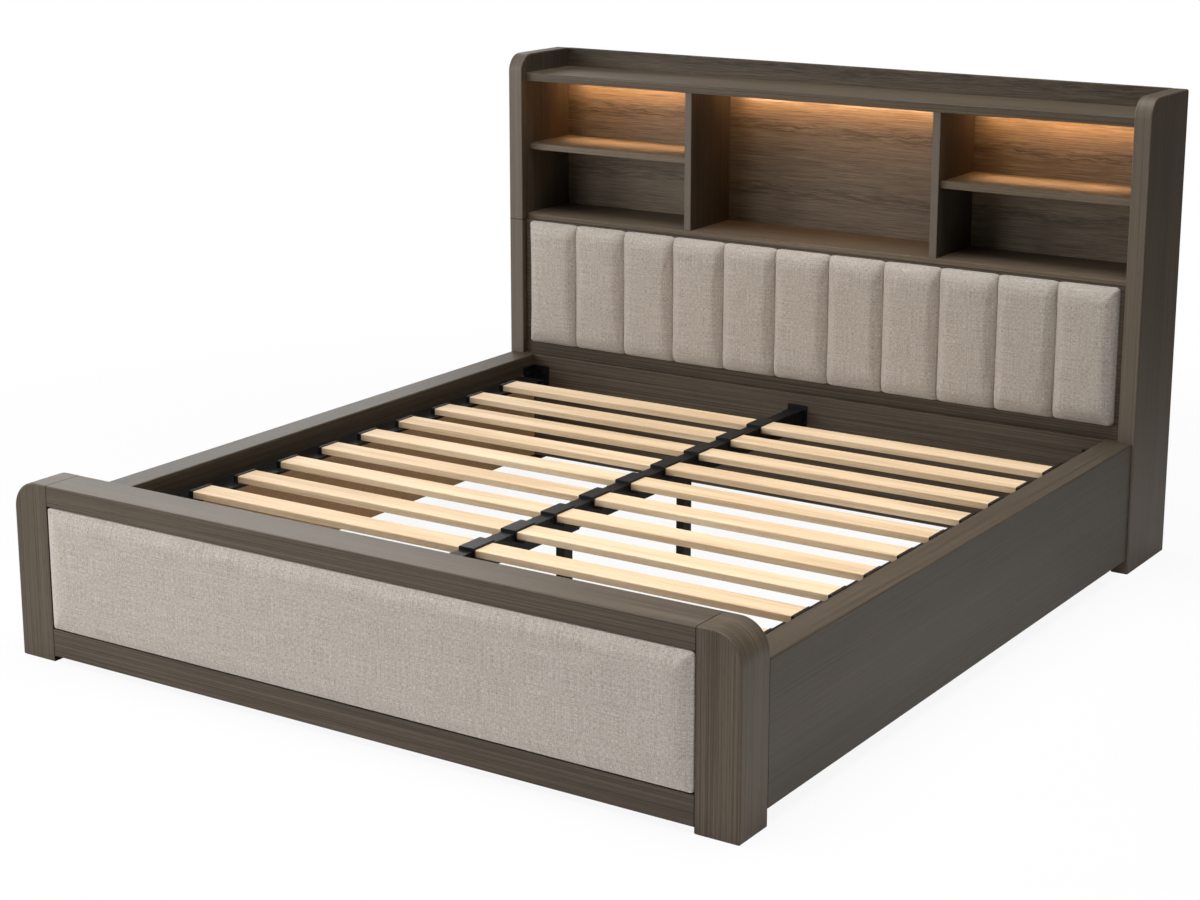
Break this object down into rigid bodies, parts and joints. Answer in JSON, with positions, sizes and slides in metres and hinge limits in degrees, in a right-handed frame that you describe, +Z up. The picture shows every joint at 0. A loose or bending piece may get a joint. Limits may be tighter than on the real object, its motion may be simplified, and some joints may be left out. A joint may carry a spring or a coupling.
{
  "type": "bed with shelves",
  "caption": "Wide slatted bed frame with a lit bookcase headboard above a channelled pad and an upholstered footboard between round-topped posts.",
  "frame": {"origin": "on the floor under the middle of the overall box", "axes": "+X to the right seen from the foot, +Y from the foot to the headboard, +Z up"},
  "size_m": [2.132, 2.453, 1.345],
  "materials": {
    "dark_veneer": "grey-brown open-grain veneer, satin lacquer",
    "backing_board": "grey-brown faced board, matt",
    "linen": "light warm-grey linen weave over foam",
    "slat_wood": "planed pale softwood, bare",
    "black_steel": "matt black powder coat",
    "black_plastic": "moulded black plastic",
    "led_aluminium": "satin anodised extrusion",
    "opal_plastic": "frosted opal diffuser",
    "led_tape": "white flexible circuit with light points",
    "driver_case": "white moulded case"
  },
  "bodies": {
    "bed_frame": {"beam_brackets": "black_steel", "bookcase_back_panel": "dark_veneer", "bookcase_floor": "dark_veneer", "bookcase_left_divider": "dark_veneer", "bookcase_left_shelf": "dark_veneer", "bookcase_right_divider": "dark_veneer", "bookcase_right_shelf": "dark_veneer", "centre_beam": "black_steel", "cord_grommet": "black_plastic", "corner_brackets": "black_steel", "footboard_back_panel": "backing_board", "footboard_bottom_rail": "dark_veneer", "footboard_left_post": "dark_veneer", "footboard_pad": "linen", "footboard_pad_board": "backing_board", "footboard_right_post": "dark_veneer", "footboard_top_rail": "dark_veneer", "front_centre_leg": "black_steel", "head_end_rail": "dark_veneer", "headboard_left_upright": "dark_veneer", "headboard_pad": "linen", "headboard_pad_board": "dark_veneer", "headboard_right_upright": "dark_veneer", "headboard_top_shelf": "dark_veneer", "led_channel_centre": "led_aluminium", "led_channel_left": "led_aluminium", "led_channel_right": "led_aluminium", "led_diffusers": "opal_plastic", "led_driver": "driver_case", "led_tapes": "led_tape", "left_side_rail": "dark_veneer", "left_slat_ledge": "black_steel", "lower_back_panel": "backing_board", "rear_centre_leg": "black_steel", "right_side_rail": "dark_veneer", "right_slat_ledge": "black_steel", "slat_caps": "black_plastic", "slat_left_01": "slat_wood", "slat_left_02": "slat_wood", "slat_left_03": "slat_wood", "slat_left_04": "slat_wood", "slat_left_05": "slat_wood", "slat_left_06": "slat_wood", "slat_left_07": "slat_wood", "slat_left_08": "slat_wood", "slat_left_09": "slat_wood", "slat_left_10": "slat_wood", "slat_right_01": "slat_wood", "slat_right_02": "slat_wood", "slat_right_03": "slat_wood", "slat_right_04": "slat_wood", "slat_right_05": "slat_wood", "slat_right_06": "slat_wood", "slat_right_07": "slat_wood", "slat_right_08": "slat_wood", "slat_right_09": "slat_wood", "slat_right_10": "slat_wood", "slat_stops": "black_plastic"},
    "front_foot": {"front_levelling_foot": "black_plastic"},
    "rear_foot": {"rear_levelling_foot": "black_plastic"}
  },
  "joints": [
    {"name": "front_foot_screw", "type": "slide", "parent": "bed_frame", "child": "front_foot", "axis": [0, 0, 1], "range_m": [-0.012, 0.005]},
    {"name": "rear_foot_screw", "type": "slide", "parent": "bed_frame", "child": "rear_foot", "axis": [0, 0, 1], "range_m": [-0.012, 0.005]}
  ]
}
